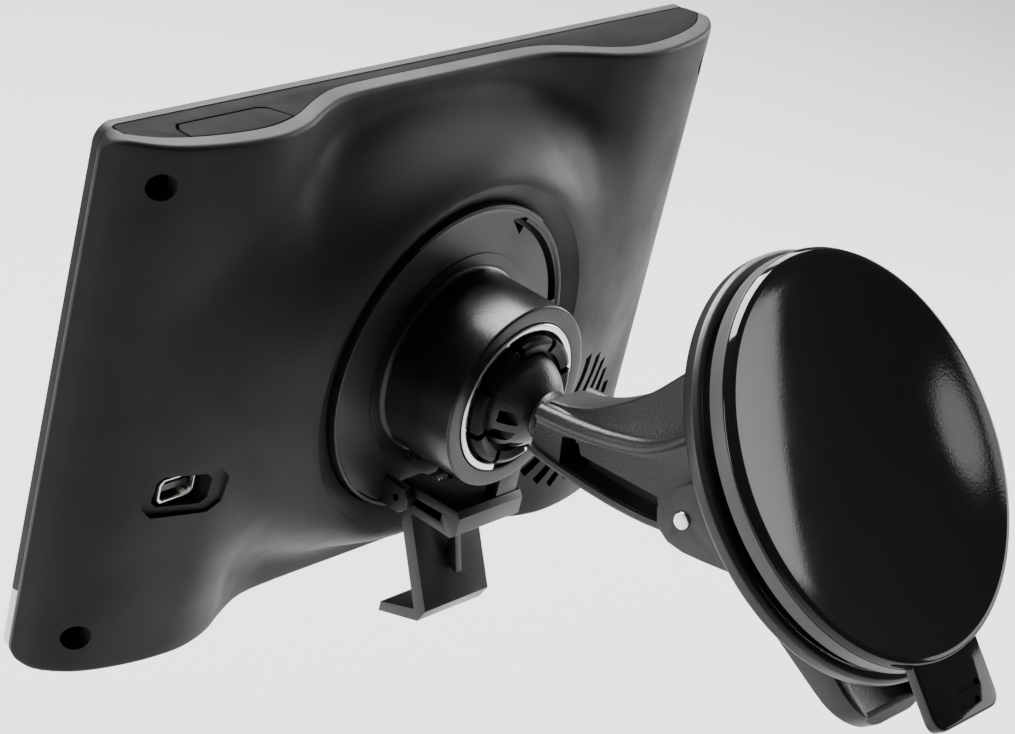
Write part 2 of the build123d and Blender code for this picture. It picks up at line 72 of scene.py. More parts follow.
CUP_HOME = Vector(mounts["windscreen_face"]["pos_m"])
CUP_OUT = Vector(mounts["windscreen_face"]["axis"]).normalized()
CUP_DOWN = Vector((0, CUP_OUT.z, -CUP_OUT.y))

# ---------------------------------------------------------------- sizes, most of them the CAD parts' own
HALF_W = (cover_high.x - cover_low.x) / 2 / MM
HALF_H = (cover_high.z - cover_low.z) / 2 / MM
CORNER_R = 3.0
SEAM_Y = (cover_low.y - HOME.y) / MM
WALL = 2.0
RIM_R = 2.0  # rounding of the cover's sides
TOP_RIM_R = 0.9  # rounding of its top and bottom edges
EDGE_BAND = 3.2  # width of the rounded rim along the top panel
SIDE_SWELL = 1.5  # how far each side of the cover stands out at the back
SCREW_WELL_R, SCREW_FLOOR_Y = 2.15, 5.6
# depth of the top and bottom edges, as (distance from the middle, depth)
EDGE = [(0, 7.0), (20, 7.1), (26, 7.8), (32, 10.0), (38, 12.7), (44.5, 14.2), (51, 14.1), (58, 13.0),
        (64, 11.2), (68, 8.8), (70.5, 6.2), (72, 3.4)]
# speaker slots, as (radius, first angle, last angle) about a point beside the speaker
SLOT_X, SLOT_Z, SLOT_HALF = -22.0, -17.0, 0.95
SPEAKER_SLOTS = [(21.2, -19, 52), (25.2, -13, 48), (29.0, -6, 46), (32.6, 1, 43), (35.8, 7, 38)]
DOME_Y, DOME_R, DOME_REACH_X, DOME_REACH_Z = 20.5, 31.0, 66.0, 43.0
SCREW_X, SCREW_Z = 65.5, 38.4
USB_X, USB_Z, USB_RECESS = 52.5, -13.6, 0.9
DISC_R, DISC_Y, WELL_R, RECESS_R = 26.9, 20.1, 27.3, 30.7
FLANGE_Y = 16.6  # front of the disc's flange, in the cover's well
LUG_R = 24.9
BOSS_R, BOSS_Y = 16.05, 34.3
BALL_Y, BALL_R = 33.0, 8.5
CUP_R, PLATE_R, CUP_DISH = 32.0, 33.2, 2.8
ARM_HALF = 7.2


# ---------------------------------------------------------------- mesh helpers
def at_home(p):
    """Row-frame point, in metres, of a point in millimetres about the screen face."""
    return HOME + Vector(p) * MM


def at_cup(p):
    """Row-frame point of (x, down the face, out along the axis) in millimetres about the cup's face."""
    return CUP_HOME + (Vector((p[0], 0, 0)) + CUP_DOWN * p[1] + CUP_OUT * p[2]) * MM


def cup_yz(down, out):
    """(y, z) about the screen face of a point given about the cup's face."""
    p = (at_cup((0, down, out)) - HOME) / MM
    return p.y, p.z


def mesh_object(name, verts, faces, place=at_home):
    """Mesh from points in millimetres, with doubled points merged and its faces turned outwards."""
    mesh = bpy.data.meshes.new(name)
    mesh.from_pydata([place(v) for v in verts], [], faces)
    bm = bmesh.new()
    bm.from_mesh(mesh)
    bmesh.ops.remove_doubles(bm, verts=bm.verts, dist=1e-7)
    bmesh.ops.recalc_face_normals(bm, faces=bm.faces)
    bm.to_mesh(mesh)
    bm.free()
    obj = bpy.data.objects.new(name, mesh)
    bpy.context.scene.collection.objects.link(obj)
    return obj


def rounded(points, radius, steps=4, closed=True):
    """The corners of an outline, each turned into a short arc."""
    out, count = [], len(points)
    for i, p in enumerate(points):
        p = Vector(p).to_2d() if len(p) > 2 else Vector(p)
        if not closed and i in (0, count - 1):
            out.append(tuple(p))
            continue
        before, after = Vector(points[i - 1]), Vector(points[(i + 1) % count])
        a, b = (before - p), (after - p)
        turn = pi - a.angle(b)
        reach = radius * np.tan(turn / 2) if turn < 3 else radius
        reach = min(reach, 0.45 * a.length, 0.45 * b.length)
        if turn < 0.05 or reach < 1e-4:
            out.append(tuple(p))
            continue
        start, end = p + a.normalized() * reach, p + b.normalized() * reach
        for k in range(steps + 1):
            t = k / steps
            out.append(tuple(start * (1 - t) ** 2 + p * 2 * t * (1 - t) + end * t * t))
    return out


def lathe(name, profile, steps=160, cup=False):
    """Closed solid of revolution from (radius, along) corners, about the head's or the cup's axis."""
    verts, faces, count = [], [], len(profile)
    for s in range(steps):
        a = 2 * pi * s / steps
        for r, along in profile:
            x, side = r * cos(a), r * sin(a)
            verts.append((x, side, along) if cup else (x, along, side))
    for s in range(steps):
        n = (s + 1) % steps
        for i in range(count):
            j = (i + 1) % count
            if profile[i][0] < 1e-6 and profile[j][0] < 1e-6:
                continue
            faces.append((s * count + i, s * count + j, n * count + j, n * count + i))
    return mesh_object(name, verts, faces, at_cup if cup else at_home)


def prism(name, outline, low, high, axis="x", place=at_home):
    """Closed slab: an outline drawn in the two other axes, extruded along one axis."""
    where = "xyz".index(axis)
    count = len(outline)
    verts = [p[:where] + (h,) + p[where:] for h in (low, high) for p in map(tuple, outline)]
    faces = [tuple(range(count)), tuple(range(2 * count - 1, count - 1, -1))]
    faces += [(i, (i + 1) % count, count + (i + 1) % count, count + i) for i in range(count)]
    return mesh_object(name, verts, faces, place)


def joined(name, *objects):
    """One object out of several; the pieces keep their own shells."""
    bm = bmesh.new()
    for obj in objects:
        bm.from_mesh(obj.data)
        bpy.data.objects.remove(obj)
    mesh = bpy.data.meshes.new(name)
    bm.to_mesh(mesh)
    bm.free()
    result = bpy.data.objects.new(name, mesh)
    bpy.context.scene.collection.objects.link(result)
    return result


def settle(obj):
    """Apply every modifier."""
    graph = bpy.context.evaluated_depsgraph_get()
    mesh = bpy.data.meshes.new_from_object(obj.evaluated_get(graph))
    obj.modifiers.clear()
    obj.data = mesh
    return obj


def combine(obj, other, how):
    """Boolean of two objects; the second one is used up."""
    tool = obj.modifiers.new(how.lower(), "BOOLEAN")
    tool.operation, tool.object, tool.solver = how, other, "EXACT"
    settle(obj)
    bpy.data.objects.remove(other)
    return obj


def cut(obj, other):
    """Take the second object's volume out of the first."""
    return combine(obj, other, "DIFFERENCE")


def bevelled(obj, width, segments=3, angle=35):
    """Round over the edges that turn by more than an angle in degrees."""
    tool = obj.modifiers.new("bevel", "BEVEL")
    tool.width, tool.segments, tool.limit_method = width * MM, segments, "ANGLE"
    tool.angle_limit, tool.use_clamp_overlap = radians(angle), True
    return settle(obj)


def smooth(obj, angle=32):
    """Shade smooth, except across edges sharper than an angle in degrees."""
    mesh = obj.data
    mesh.polygons.foreach_set("use_smooth", [True] * len(mesh.polygons))
    mesh.set_sharp_from_angle(angle=radians(angle))
    mesh.update()
    return obj


def piece(obj, body, slot_name, *nodes):
    """Give a finished object its material and its place in the assembly."""
    obj.data.materials.clear()
    obj.data.materials.append(MATERIALS[slot_name])
    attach(obj, body)
    if nodes:
        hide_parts(*nodes)
    return obj


def refined(node, body, slot_name, width, segments=3):
    """A CAD piece with its edges rounded over."""
    source = frame["nodes"][node]
    mesh = source.data.copy()
    obj = bpy.data.objects.new(node + "_finished", mesh)
    bpy.context.scene.collection.objects.link(obj)
    bm = bmesh.new()
    bm.from_mesh(mesh)
    bmesh.ops.remove_doubles(bm, verts=bm.verts, dist=2e-6)
    bmesh.ops.dissolve_limit(bm, angle_limit=radians(0.6), verts=bm.verts, edges=bm.edges)
    bm.to_mesh(mesh)
    bm.free()
    if "custom_normal" in mesh.attributes:
        mesh.attributes.remove(mesh.attributes["custom_normal"])
    return piece(smooth(bevelled(obj, width, segments)), body, slot_name, node)


def ease(t):
    """Smooth step from 0 to 1."""
    t = min(max(t, 0.0), 1.0)
    return t * t * (3 - 2 * t)


def through(points, t):
    """Smooth value at t of a curve through (t, value) points."""
    ts = [p[0] for p in points]
    i = min(max(int(np.searchsorted(ts, t)) - 1, 0), len(points) - 2)
    (t0, v0), (t1, v1) = points[i], points[i + 1]

    def slope(k):
        a, b = points[max(k - 1, 0)], points[min(k + 1, len(points) - 1)]
        return (b[1] - a[1]) / (b[0] - a[0])

    span = t1 - t0
    u = min(max((t - t0) / span, 0.0), 1.0)
    return ((2 * u**3 - 3 * u**2 + 1) * v0 + (u**3 - 2 * u**2 + u) * span * slope(i)
            + (3 * u**2 - 2 * u**3) * v1 + (u**3 - u**2) * span * slope(i + 1))


# ---------------------------------------------------------------- materials
BLOTCH_MM, GLOSS_MM = 22, 9  # sizes of the blotches in colour and in gloss
GRAIN_DEPTH = 0.35  # depth of the grain over its size
NOISE_LOW, NOISE_HIGH = 0.3, 0.7  # most of a noise texture's values lie between these
WORN_FROM, WORN_TO = 0.52, 0.62  # pointiness where wear begins and where it is full
WORN_GAIN, WORN_LIFT = 2.2, 0.02  # how much lighter worn plastic is


def material(name, color, rough, metallic=0.0, grain=0.0, grain_mm=0.3, mottle=0.06, rough_spread=0.06,
             wear=0.0, coat=0.0, coat_rough=0.1, specular=0.5):
    """Moulded plastic, rubber or metal: fine grain in the bump, soft blotches in colour and gloss."""
    mat = bpy.data.materials.new(name)
    mat.use_nodes = True
    tree = mat.node_tree
    nodes, link = tree.nodes, tree.links.new
    shader = nodes["Principled BSDF"]
    shader.inputs["Metallic"].default_value = metallic
    shader.inputs["Coat Weight"].default_value = coat
    shader.inputs["Coat Roughness"].default_value = coat_rough
    shader.inputs["Specular IOR Level"].default_value = specular
    coords = nodes.new("ShaderNodeTexCoord")

    def noise(size_mm, detail, roughness=0.5):
        node = nodes.new("ShaderNodeTexNoise")
        node.inputs["Scale"].default_value = 1000 / size_mm
        node.inputs["Detail"].default_value = detail
        node.inputs["Roughness"].default_value = roughness
        link(coords.outputs["Object"], node.inputs["Vector"])
        return node.outputs["Fac"]

    def spread(source, low, high):
        node = nodes.new("ShaderNodeMapRange")
        node.inputs["From Min"].default_value = NOISE_LOW
        node.inputs["From Max"].default_value = NOISE_HIGH
        node.inputs["To Min"].default_value = low
        node.inputs["To Max"].default_value = high
        link(source, node.inputs["Value"])
        return node.outputs["Result"]

    blotch = noise(BLOTCH_MM, 3)
    tone = nodes.new("ShaderNodeMix")
    tone.data_type = "RGBA"
    tone.inputs["A"].default_value = [c * (1 - mottle) for c in color] + [1]
    tone.inputs["B"].default_value = [min(c * (1 + mottle), 1) for c in color] + [1]
    link(spread(blotch, 0, 1), tone.inputs["Factor"])
    result = tone.outputs["Result"]
    if wear:
        geometry = nodes.new("ShaderNodeNewGeometry")
        edge = nodes.new("ShaderNodeMapRange")
        edge.inputs["From Min"].default_value = WORN_FROM
        edge.inputs["From Max"].default_value = WORN_TO
        edge.inputs["To Max"].default_value = wear
        link(geometry.outputs["Pointiness"], edge.inputs["Value"])
        worn = nodes.new("ShaderNodeMix")
        worn.data_type = "RGBA"
        worn.inputs["B"].default_value = [min(c * WORN_GAIN + WORN_LIFT, 1) for c in color] + [1]
        link(edge.outputs["Result"], worn.inputs["Factor"])
        link(result, worn.inputs["A"])
        result = worn.outputs["Result"]
    link(result, shader.inputs["Base Color"])
    gloss = spread(noise(GLOSS_MM, 4), max(rough - rough_spread, 0.02), min(rough + rough_spread, 1))
    link(gloss, shader.inputs["Roughness"])
    if grain:
        bump = nodes.new("ShaderNodeBump")
        bump.inputs["Strength"].default_value = min(grain, 1)
        bump.inputs["Distance"].default_value = grain_mm * GRAIN_DEPTH * MM
        link(noise(grain_mm, 2, 0.6), bump.inputs["Height"])
        link(bump.outputs["Normal"], shader.inputs["Normal"])
    return mat


# name: colour, roughness, and what else sets the material apart
LOOKS = {
    "cover_plastic": ((0.0085, 0.0085, 0.009), 0.56,
                      {"grain": 0.35, "grain_mm": 0.28, "wear": 0.12, "specular": 0.30}),
    "frame_plastic": ((0.010, 0.010, 0.010), 0.55,
                      {"grain": 0.25, "grain_mm": 0.25, "wear": 0.15, "specular": 0.3}),
    "panel_plastic": ((0.006, 0.006, 0.0055), 0.62, {"grain": 0.18, "grain_mm": 0.2, "specular": 0.05}),
    "silver_trim": ((0.60, 0.60, 0.61), 0.32, {"metallic": 0.85, "grain": 0.1, "grain_mm": 0.12}),
    "screen_glass": ((0.012, 0.012, 0.014), 0.06,
                     {"coat": 1.0, "coat_rough": 0.03, "mottle": 0.02, "rough_spread": 0.03}),
    "lcd": ((0.01, 0.011, 0.012), 0.2, {"grain": 0.05}),
    "sheet_metal": ((0.55, 0.55, 0.55), 0.35, {"metallic": 1.0, "grain": 0.1}),
    "circuit_board": ((0.01, 0.10, 0.04), 0.35, {"grain": 0.2, "grain_mm": 0.8}),
    "battery_wrap": ((0.08, 0.09, 0.12), 0.4, {"grain": 0.1}),
    "speaker_metal": ((0.03, 0.03, 0.03), 0.4, {"grain": 0.1}),
    "foam": ((0.02, 0.02, 0.02), 0.9, {"grain": 0.8, "grain_mm": 0.5}),
    "ceramic": ((0.55, 0.47, 0.34), 0.7, {"grain": 0.2}),
    "socket_shell": ((0.72, 0.71, 0.69), 0.22, {"metallic": 1.0, "grain": 0.08, "grain_mm": 0.15}),
    "socket_insert": ((0.02, 0.02, 0.02), 0.3, {"grain": 0.1}),
    "screw_steel": ((0.10, 0.10, 0.10), 0.34, {"metallic": 0.9, "grain": 0.1, "grain_mm": 0.15, "wear": 0.3}),
    "inner_plastic": ((0.002, 0.002, 0.002), 0.40, {"grain": 0.2, "grain_mm": 0.25, "specular": 0.14}),
    "disc_plastic": ((0.010, 0.010, 0.010), 0.42, {"grain": 0.25, "grain_mm": 0.22, "wear": 0.15}),
    "housing_plastic": ((0.005, 0.005, 0.005), 0.30,
                        {"grain": 0.22, "grain_mm": 0.35, "wear": 0.2, "specular": 0.4}),
    "ring_metal": ((0.80, 0.80, 0.79), 0.2, {"metallic": 1.0, "grain": 0.08, "grain_mm": 0.2}),
    "spring_steel": ((0.5, 0.5, 0.5), 0.25, {"metallic": 1.0, "grain": 0.08}),
    "lever_plastic": ((0.006, 0.006, 0.006), 0.36, {"grain": 0.2, "grain_mm": 0.25, "wear": 0.25}),
    "cup_rubber": ((0.0045, 0.004, 0.0042), 0.06,
                   {"grain": 0.02, "grain_mm": 0.5, "mottle": 0.2, "rough_spread": 0.015}),
    # the cup's rubber side: duller, with a lighter grey painted on as the highlight along it
    "cup_side_painted_highlight": ((0.075, 0.075, 0.077), 0.40, {"grain": 0.1, "grain_mm": 0.4, "mottle": 0.15}),
    "base_plastic": ((0.016, 0.016, 0.016), 0.36, {"grain": 0.2, "grain_mm": 0.25, "wear": 0.2}),
    "arm_plastic": ((0.011, 0.011, 0.011), 0.40, {"grain": 0.5, "grain_mm": 0.4, "wear": 0.25}),
    "pin_steel": ((0.82, 0.82, 0.80), 0.2, {"metallic": 1.0, "grain": 0.06, "grain_mm": 0.15}),
}
MATERIALS = {name: material(name, color, rough, **more) for name, (color, rough, more) in LOOKS.items()}
for subpart in frame["record"]["subparts"]:
    data = frame["nodes"][subpart["node"]].data
    data.materials.clear()
    data.materials.append(MATERIALS[subpart["material_slot"]])


# ---------------------------------------------------------------- back cover
def edge_depth(x):
    """Depth along the top and bottom edges: thin in the middle, with a lobe on each side."""
    return through(EDGE, abs(x))


def back_depth(x, z):
    """Depth of the back surface: the edge depth, raised to a round plateau in the middle."""
    r = hypot(x, z)
    if r <= DOME_R:
        return DOME_Y
    reach = r / hypot(x / DOME_REACH_X, z / DOME_REACH_Z)
    rise = 1 - ease((r - DOME_R) / (reach - DOME_R))
    return edge_depth(x) + (DOME_Y - edge_depth(x)) * rise


def back_slope(x, z, reach_x, reach_z):
    """Slopes of the back surface along X and Z, measured across a reach on each side."""
    along_x = (back_depth(x + reach_x, z) - back_depth(x - reach_x, z)) / (2 * reach_x)
    along_z = (back_depth(x, z + reach_z) - back_depth(x, z - reach_z)) / (2 * reach_z)
    return along_x, along_z


def inner_depth(x, z):
    """Inner skin: one wall inside the back, more round the disc's well and the USB socket."""
    slope_x, slope_z = back_slope(x, z, 0.5, 0.5)
    depth = back_depth(x, z) - WALL * sqrt(1 + slope_x**2 + slope_z**2)
    extra, blend = 2.2, 3
    usb = 1 - ease((max(abs(x - USB_X) - 8, abs(z - USB_Z) - 5) - 1) / blend)
    well = 1 - ease((hypot(x, z) - 33) / blend)
    return depth - extra * max(usb, well)


def lines(half, rim, count, arc_steps=6):
    """Grid lines from -half to half, crowded over the rounded rim."""
    near = [half - rim * (1 - cos(0.5 * pi * k / arc_steps)) for k in range(arc_steps)]
    inner = half - rim
    middle = [inner * (2 * i / count - 1) for i in range(count + 1)]
    return [-a for a in near] + middle + near[::-1]


def rounded_corner(x, z, half_x, half_z, r):
    """Move a point of a square-cornered grid onto the rounded outline."""
    a, b = (abs(x) - half_x + r) / r, (abs(z) - half_z + r) / r
    if a <= 0 or b <= 0:
        return x, z
    u, v = a * sqrt(1 - b * b / 2), b * sqrt(1 - a * a / 2)
    return (half_x - r + r * u) * (1 if x > 0 else -1), (half_z - r + r * v) * (1 if z > 0 else -1)


def round_off(distance, radius):
    """How far a quarter round of this radius drops at a distance from its edge."""
    if distance >= radius:
        return 0.0
    return radius - sqrt(max(radius**2 - (radius - distance) ** 2, 0))


def depth_sheet(inset, side_rim, top_rim, depth):
    """Points, faces and last ring of one skin: a grid over the back, then rings down to the seam."""
    count_x, count_z, least = 116, 70, 0.4
    half_x, half_z, r = HALF_W + SIDE_SWELL - inset, HALF_H - inset, CORNER_R - inset
    xs, zs = lines(half_x, side_rim, count_x), lines(half_z, top_rim, count_z)
    grid = []
    for x in xs:
        for z in zs:
            px, pz = rounded_corner(x, z, half_x, half_z, r)
            drop = round_off(half_z - abs(z), top_rim)
            grid.append((px, max(depth(px, pz) - drop, SEAM_Y + least), pz))
    rows, columns = len(xs), len(zs)
    border = [i * columns for i in range(rows)]
    border += [(rows - 1) * columns + j for j in range(1, columns)]
    border += [i * columns + columns - 1 for i in range(rows - 2, -1, -1)]
    border += list(range(columns - 2, 0, -1))
    faces = [(i * columns + j, i * columns + j + 1, (i + 1) * columns + j + 1, (i + 1) * columns + j)
             for i in range(rows - 1) for j in range(columns - 1)]
    last = border
    for down in (0.25, 0.6, 1.0):
        ring = []
        for k in border:
            x, y, z = grid[k]
            ring.append(len(grid))
            grid.append((x * (1 - SIDE_SWELL / HALF_W * down**2), y + (SEAM_Y - y) * down, z))
        faces += band(last, ring)
        last = ring
    return grid, faces, last


def band(a, b):
    """Faces between two closed rings of as many points."""
    count = len(a)
    return [(a[i], a[(i + 1) % count], b[(i + 1) % count], b[i]) for i in range(count)]


def panel_outline(gap):
    """Outline of the top panel in (x, y): straight in front, lobed behind."""
    margin, steps = 1.4, 40
    half, front = HALF_W - margin - gap, SEAM_Y + gap
    end = edge_depth(half) - EDGE_BAND - gap
    xs = [half * (1 - i / steps) for i in range(2 * steps + 1)]
    ends = rounded([(-half, end), (-half, front), (half, front), (half, end)], 1.2, closed=False)
    return [(x, edge_depth(x) - EDGE_BAND - gap) for x in xs] + ends[1:-1]


def button_outline(grow, rear_grow):
    """Outline of the power button in (x, y); its rear follows the rim."""
    x0, x1, y0, steps = 38.5 - grow, 60.2 + grow, 4.8 - grow, 16
    xs = [x0 + (x1 - x0) * i / steps for i in range(steps + 1)]
    rear = [(x, edge_depth(x) - EDGE_BAND - 0.1 + rear_grow) for x in xs]
    front = [(x1, y0 + 1.5), (x1 - 1.2, y0), (x0 + 3.6, y0), (x0 + 1.8, y0 + 0.7)]
    return rear + rounded(front, 0.8, closed=False)


def usb_outline(width, height, chamfer):
    """Outline in (x, z) about the USB socket, with its corners cut and the cuts softened."""
    w, h = width / 2, height / 2
    corners = [(-w + chamfer, -h), (w - chamfer, -h), (w, -h + chamfer), (w, h - chamfer)]
    corners += [(w - chamfer, h), (-w + chamfer, h), (-w, h - chamfer), (-w, -h + chamfer)]
    return [(USB_X + x, USB_Z + z) for x, z in rounded(corners, 0.5)]


def arc_slot(r, half_width, from_angle, to_angle, steps=24):
    """Outline in (x, z) of a slot along an arc about the slots' middle, angles down from -X."""
    outline = []
    for side, order in ((1, range(steps + 1)), (-1, range(steps, -1, -1))):
        for k in order:
            a = pi + radians(from_angle + (to_angle - from_angle) * k / steps)
            reach = r + side * half_width
            outline.append((SLOT_X + reach * cos(a), SLOT_Z + reach * sin(a)))
    return outline


def usb_recess():
    """Cutter whose floor lies parallel to the slanting back."""
    tool = prism("recess", usb_outline(13.4, 8.5, 1.9), 0, 6, "y")
    depth = back_depth(USB_X, USB_Z) - USB_RECESS
    slope_x, slope_z = back_slope(USB_X, USB_Z, 4, 3)
    for v in tool.data.vertices:
        offset = (v.co - HOME) / MM
        v.co.y += (depth + slope_x * (offset.x - USB_X) + slope_z * (offset.z - USB_Z)) * MM
    return tool


def make_back_cover():
    """Two skins joined at the seam, cut for the panel, slots, socket, screws and disc."""
    outer, outer_faces, outer_edge = depth_sheet(0, RIM_R, TOP_RIM_R, back_depth)
    inner, inner_faces, inner_edge = depth_sheet(WALL, 0.6, 0.6, inner_depth)
    shift = len(outer)
    faces = outer_faces + [tuple(i + shift for i in f) for f in inner_faces]
    faces += band(outer_edge, [i + shift for i in inner_edge])
    cover = mesh_object("back_cover_shell", outer + inner, faces)
    cutters = [prism("window", panel_outline(0), HALF_H - WALL - 0.6, HALF_H + 1, "z")]
    for r, start, end in SPEAKER_SLOTS:
        cutters.append(prism("slot", arc_slot(r, SLOT_HALF, start, end), 7, 22, "y"))
    cutters.append(usb_recess())
    screws = [(sx * SCREW_X, sz * SCREW_Z) for sx in (-1, 1) for sz in (-1, 1)]
    cutters += [screw_well_cutter(x, z) for x, z in screws]
    cut(cover, joined("cutters", *cutters))
    cut(cover, prism("hole", usb_outline(9.2, 5.6, 1.0), 8, 18, "y"))
    bottom, wall_in, wall_out, wall_top = 12.0, WELL_R + 0.02, 28.8, 18.3
    recess = [(0, bottom), (WELL_R, bottom), (WELL_R, 18.6), (RECESS_R - 0.8, 19.9), (RECESS_R, 20.25),
              (RECESS_R + 0.5, 20.7), (RECESS_R + 0.6, 23), (0, 23)]
    cut(cover, lathe("well", recess, 200))
    wells = [screw_well_wall(x, z) for x, z in screws]
    wall = [(wall_in, bottom), (wall_out, bottom), (wall_out, wall_top), (wall_in, wall_top)]
    socket_wall = lathe("socket_wall", wall, 200)
    cover = joined("back_cover_shell", cover, socket_wall, *wells)
    piece(smooth(cover, 38), "navigator", "cover_plastic", "back_cover")


def shifted(obj, x, z):
    """Move an object's mesh across the back, in millimetres."""
    obj.data.transform(Matrix.Translation(Vector((x, 0, z)) * MM))
    return obj


def screw_well_cutter(x, z):
    """Cylinder that opens the well of a case screw."""
    profile = [(0, SCREW_FLOOR_Y), (SCREW_WELL_R, SCREW_FLOOR_Y), (SCREW_WELL_R, 16), (0, 16)]
    return shifted(lathe("well", profile, 48), x, z)


def screw_well_wall(x, z):
    """Sleeve round a case screw with a floor for its head, ending inside the cover's skin."""
    hole, bottom, top = 1.25, 4.5, back_depth(x, z) - 2.2
    r, outer = SCREW_WELL_R + 0.02, SCREW_WELL_R + 1.0
    profile = [(hole, bottom), (outer, bottom), (outer, top), (r, top)]
    profile += [(r, SCREW_FLOOR_Y), (hole, SCREW_FLOOR_Y)]
    return shifted(lathe("sleeve", profile, 48), x, z)


make_back_cover()


# ---------------------------------------------------------------- the rest of the navigator
def make_top_panel():
    """The panel let into the top edge, and the power button with its foot and stem."""
    panel = prism("top_panel_plate", panel_outline(0.18), HALF_H - WALL, HALF_H - 0.05, "z")
    cut(panel, prism("hole", button_outline(0.0, 0.15), HALF_H - 5, HALF_H + 2, "z"))
    piece(smooth(bevelled(panel, 0.18, 2)), "navigator", "panel_plastic", "top_panel")
    under = HALF_H - WALL
    button = bevelled(prism("cap", button_outline(-0.3, -0.2), under - 0.3, HALF_H - 0.02, "z"), 0.2, 3)
    foot = prism("foot", [(42.5, 4.0), (55.5, 4.0), (55.5, 9.6), (42.5, 9.6)], under - 1, under - 0.1, "z")
    stem = prism("stem", [(47.6, 6.4), (50.4, 6.4), (50.4, 8.2), (47.6, 8.2)], under - 3.4, under - 0.5, "z")
    button = joined("power_button_cap", button, foot, stem)
    piece(smooth(button), "power_button", "panel_plastic", "power_button")


make_top_panel()
refined("front_frame", "navigator", "frame_plastic", 0.35)
refined("lower_trim", "navigator", "silver_trim", 0.3)
refined("usb_socket", "navigator", "socket_shell", 0.12, 2)


# ---------------------------------------------------------------- mount head
def make_disc():
    """Disc with a raised rounded rim, engraved turning arrow, lugs and lever cheeks."""
    face = 19.75
    hub, hub_y = 22.2, 14.0
    profile = [(0, hub_y), (hub, hub_y), (hub, FLANGE_Y), (DISC_R, FLANGE_Y), (DISC_R, DISC_Y)]
    profile += [(26.3, DISC_Y), (26.05, face)]
    disc = lathe("mount_disc_face", rounded(profile, 0.35, 3, closed=False) + [(0, face)], 200)
    arrow = arrow_outline(24.85, tail_angle=168, root_angle=118, tip_angle=109)
    cut(disc, prism("arrow", arrow, face - 2.4, face + 0.5, "y"))
    cheek = [(19.3, -19.4), (24.2, -19.8), (25.2, -21.2), (25.2, -23.2), (24.0, -24.3), (19.3, -24.4)]
    cheek = rounded(cheek, 0.8)
    cheeks = [bevelled(prism("cheek", cheek, side * 8.3, side * 9.9, "x"), 0.2) for side in (-1, 1)]
    lugs = [prism("lug", wedge(LUG_R, 20, angle, 36), hub_y, hub_y + 1.0, "y") for angle in (90, 210, 330)]
    step = prism("step", wedge(DISC_R + 0.3, DISC_R - 1, 92, 70, 40), FLANGE_Y, DISC_Y - 0.12, "y")
    disc = joined("mount_disc_face", disc, bevelled(step, 0.12), *cheeks, *lugs)
    piece(smooth(disc), "mount_head", "disc_plastic", "mount_disc")


def arrow_outline(r, tail_angle, root_angle, tip_angle, steps=30):
    """Outline in (x, z) of a curved arrow whose stroke narrows towards its head."""
    outline = []
    for side, order in ((1, range(steps + 1)), (-1, range(steps, -1, -1))):
        for k in order:
            a = radians(tail_angle + (root_angle - tail_angle) * k / steps)
            reach = r + side * (1.0 - 0.55 * k / steps)
            outline.append((reach * cos(a), reach * sin(a)))
    tip, root = radians(tip_angle), radians(root_angle)
    head = [((r + 1.35) * cos(root), (r + 1.35) * sin(root)), (r * cos(tip), r * sin(tip)),
            ((r - 1.9) * cos(root), (r - 1.9) * sin(root))]
    return outline[:steps + 1] + head + outline[steps + 1:]


def wedge(r_out, r_in, mid_angle, span, steps=12):
    """Outline in (x, z) of a piece of a ring."""
    angles = [radians(mid_angle + span * (k / steps - 0.5)) for k in range(steps + 1)]
    outer = [(r_out * cos(a), r_out * sin(a)) for a in angles]
    inner = [(r_in * cos(a), r_in * sin(a)) for a in angles[::-1]]
    return outer + inner


def make_housing():
    """Round boss with a bore, a step for the retaining ring, and a filleted foot on a thin collar."""
    fillet, steps, collar, foot_y, under_y = 0.8, 12, 18.7, 20.0, 19.7
    bore, floor_y, seat, seat_y = 12.1, 21.6, 13.1, 33.35
    turn = [radians(180 + 90 * k / steps) for k in range(steps + 1)]
    profile = [(bore, floor_y), (bore, seat_y), (seat, seat_y), (seat, BOSS_Y)]
    profile += [(BOSS_R, BOSS_Y), (BOSS_R, 26)]
    body = rounded(profile, 0.5, 5, closed=False)
    body += [(BOSS_R + fillet + fillet * cos(a), foot_y + fillet + fillet * sin(a)) for a in turn]
    body += [(collar, 19.92), (collar, under_y), (0, under_y), (0, floor_y)]
    piece(smooth(lathe("ball_housing_body", body, 200)), "mount_head", "housing_plastic", "ball_housing")


def make_retaining_ring():
    """Open ring of spring steel with its gap at the bottom."""
    section = [(11.8, 33.4), (13.0, 33.4), (13.0, 34.55), (11.8, 34.55)]
    ring = lathe("retaining_ring_wire", rounded(section, 0.3, 4), 160)
    cut(ring, prism("gap", wedge(16, 8, 262, 34), 32, 36, "y"))
    piece(smooth(ring), "mount_head", "ring_metal", "retaining_ring")


def ball_profile(r, from_angle, to_angle, steps):
    """Arc of a circle round the ball's middle in (radius, y), angles from +Y."""
    angles = [radians(from_angle + (to_angle - from_angle) * k / steps) for k in range(steps + 1)]
    return [(r * sin(a), BALL_Y + r * cos(a)) for a in angles]


def make_ball_socket():
    """Collet of eight fingers with rounded tips."""
    inner = ball_profile(BALL_R + 0.85, 165, 72, 24)
    outline = inner + [(10.3, 36.2), (11.0, 35.9), (11.3, 33.2), (12.0, 33.2), (12.0, 23.95)]
    collet = lathe("ball_socket_fingers", outline, 160)
    slots = []
    fingers = 8
    for k in range(fingers):
        slot = prism("slot", [(-0.6, 7), (0.6, 7), (0.6, 13), (-0.6, 13)], 28.5, 37, "y")
        turn = Matrix.Rotation(radians(360 / fingers * (k + 0.5)), 4, "Y")
        slot.data.transform(Matrix.Translation(HOME) @ turn @ Matrix.Translation(-HOME))
        slots.append(slot)
    cut(collet, joined("slots", *slots))
    piece(smooth(bevelled(collet, 0.18, 2, 45)), "ball_socket", "inner_plastic", "ball_socket")


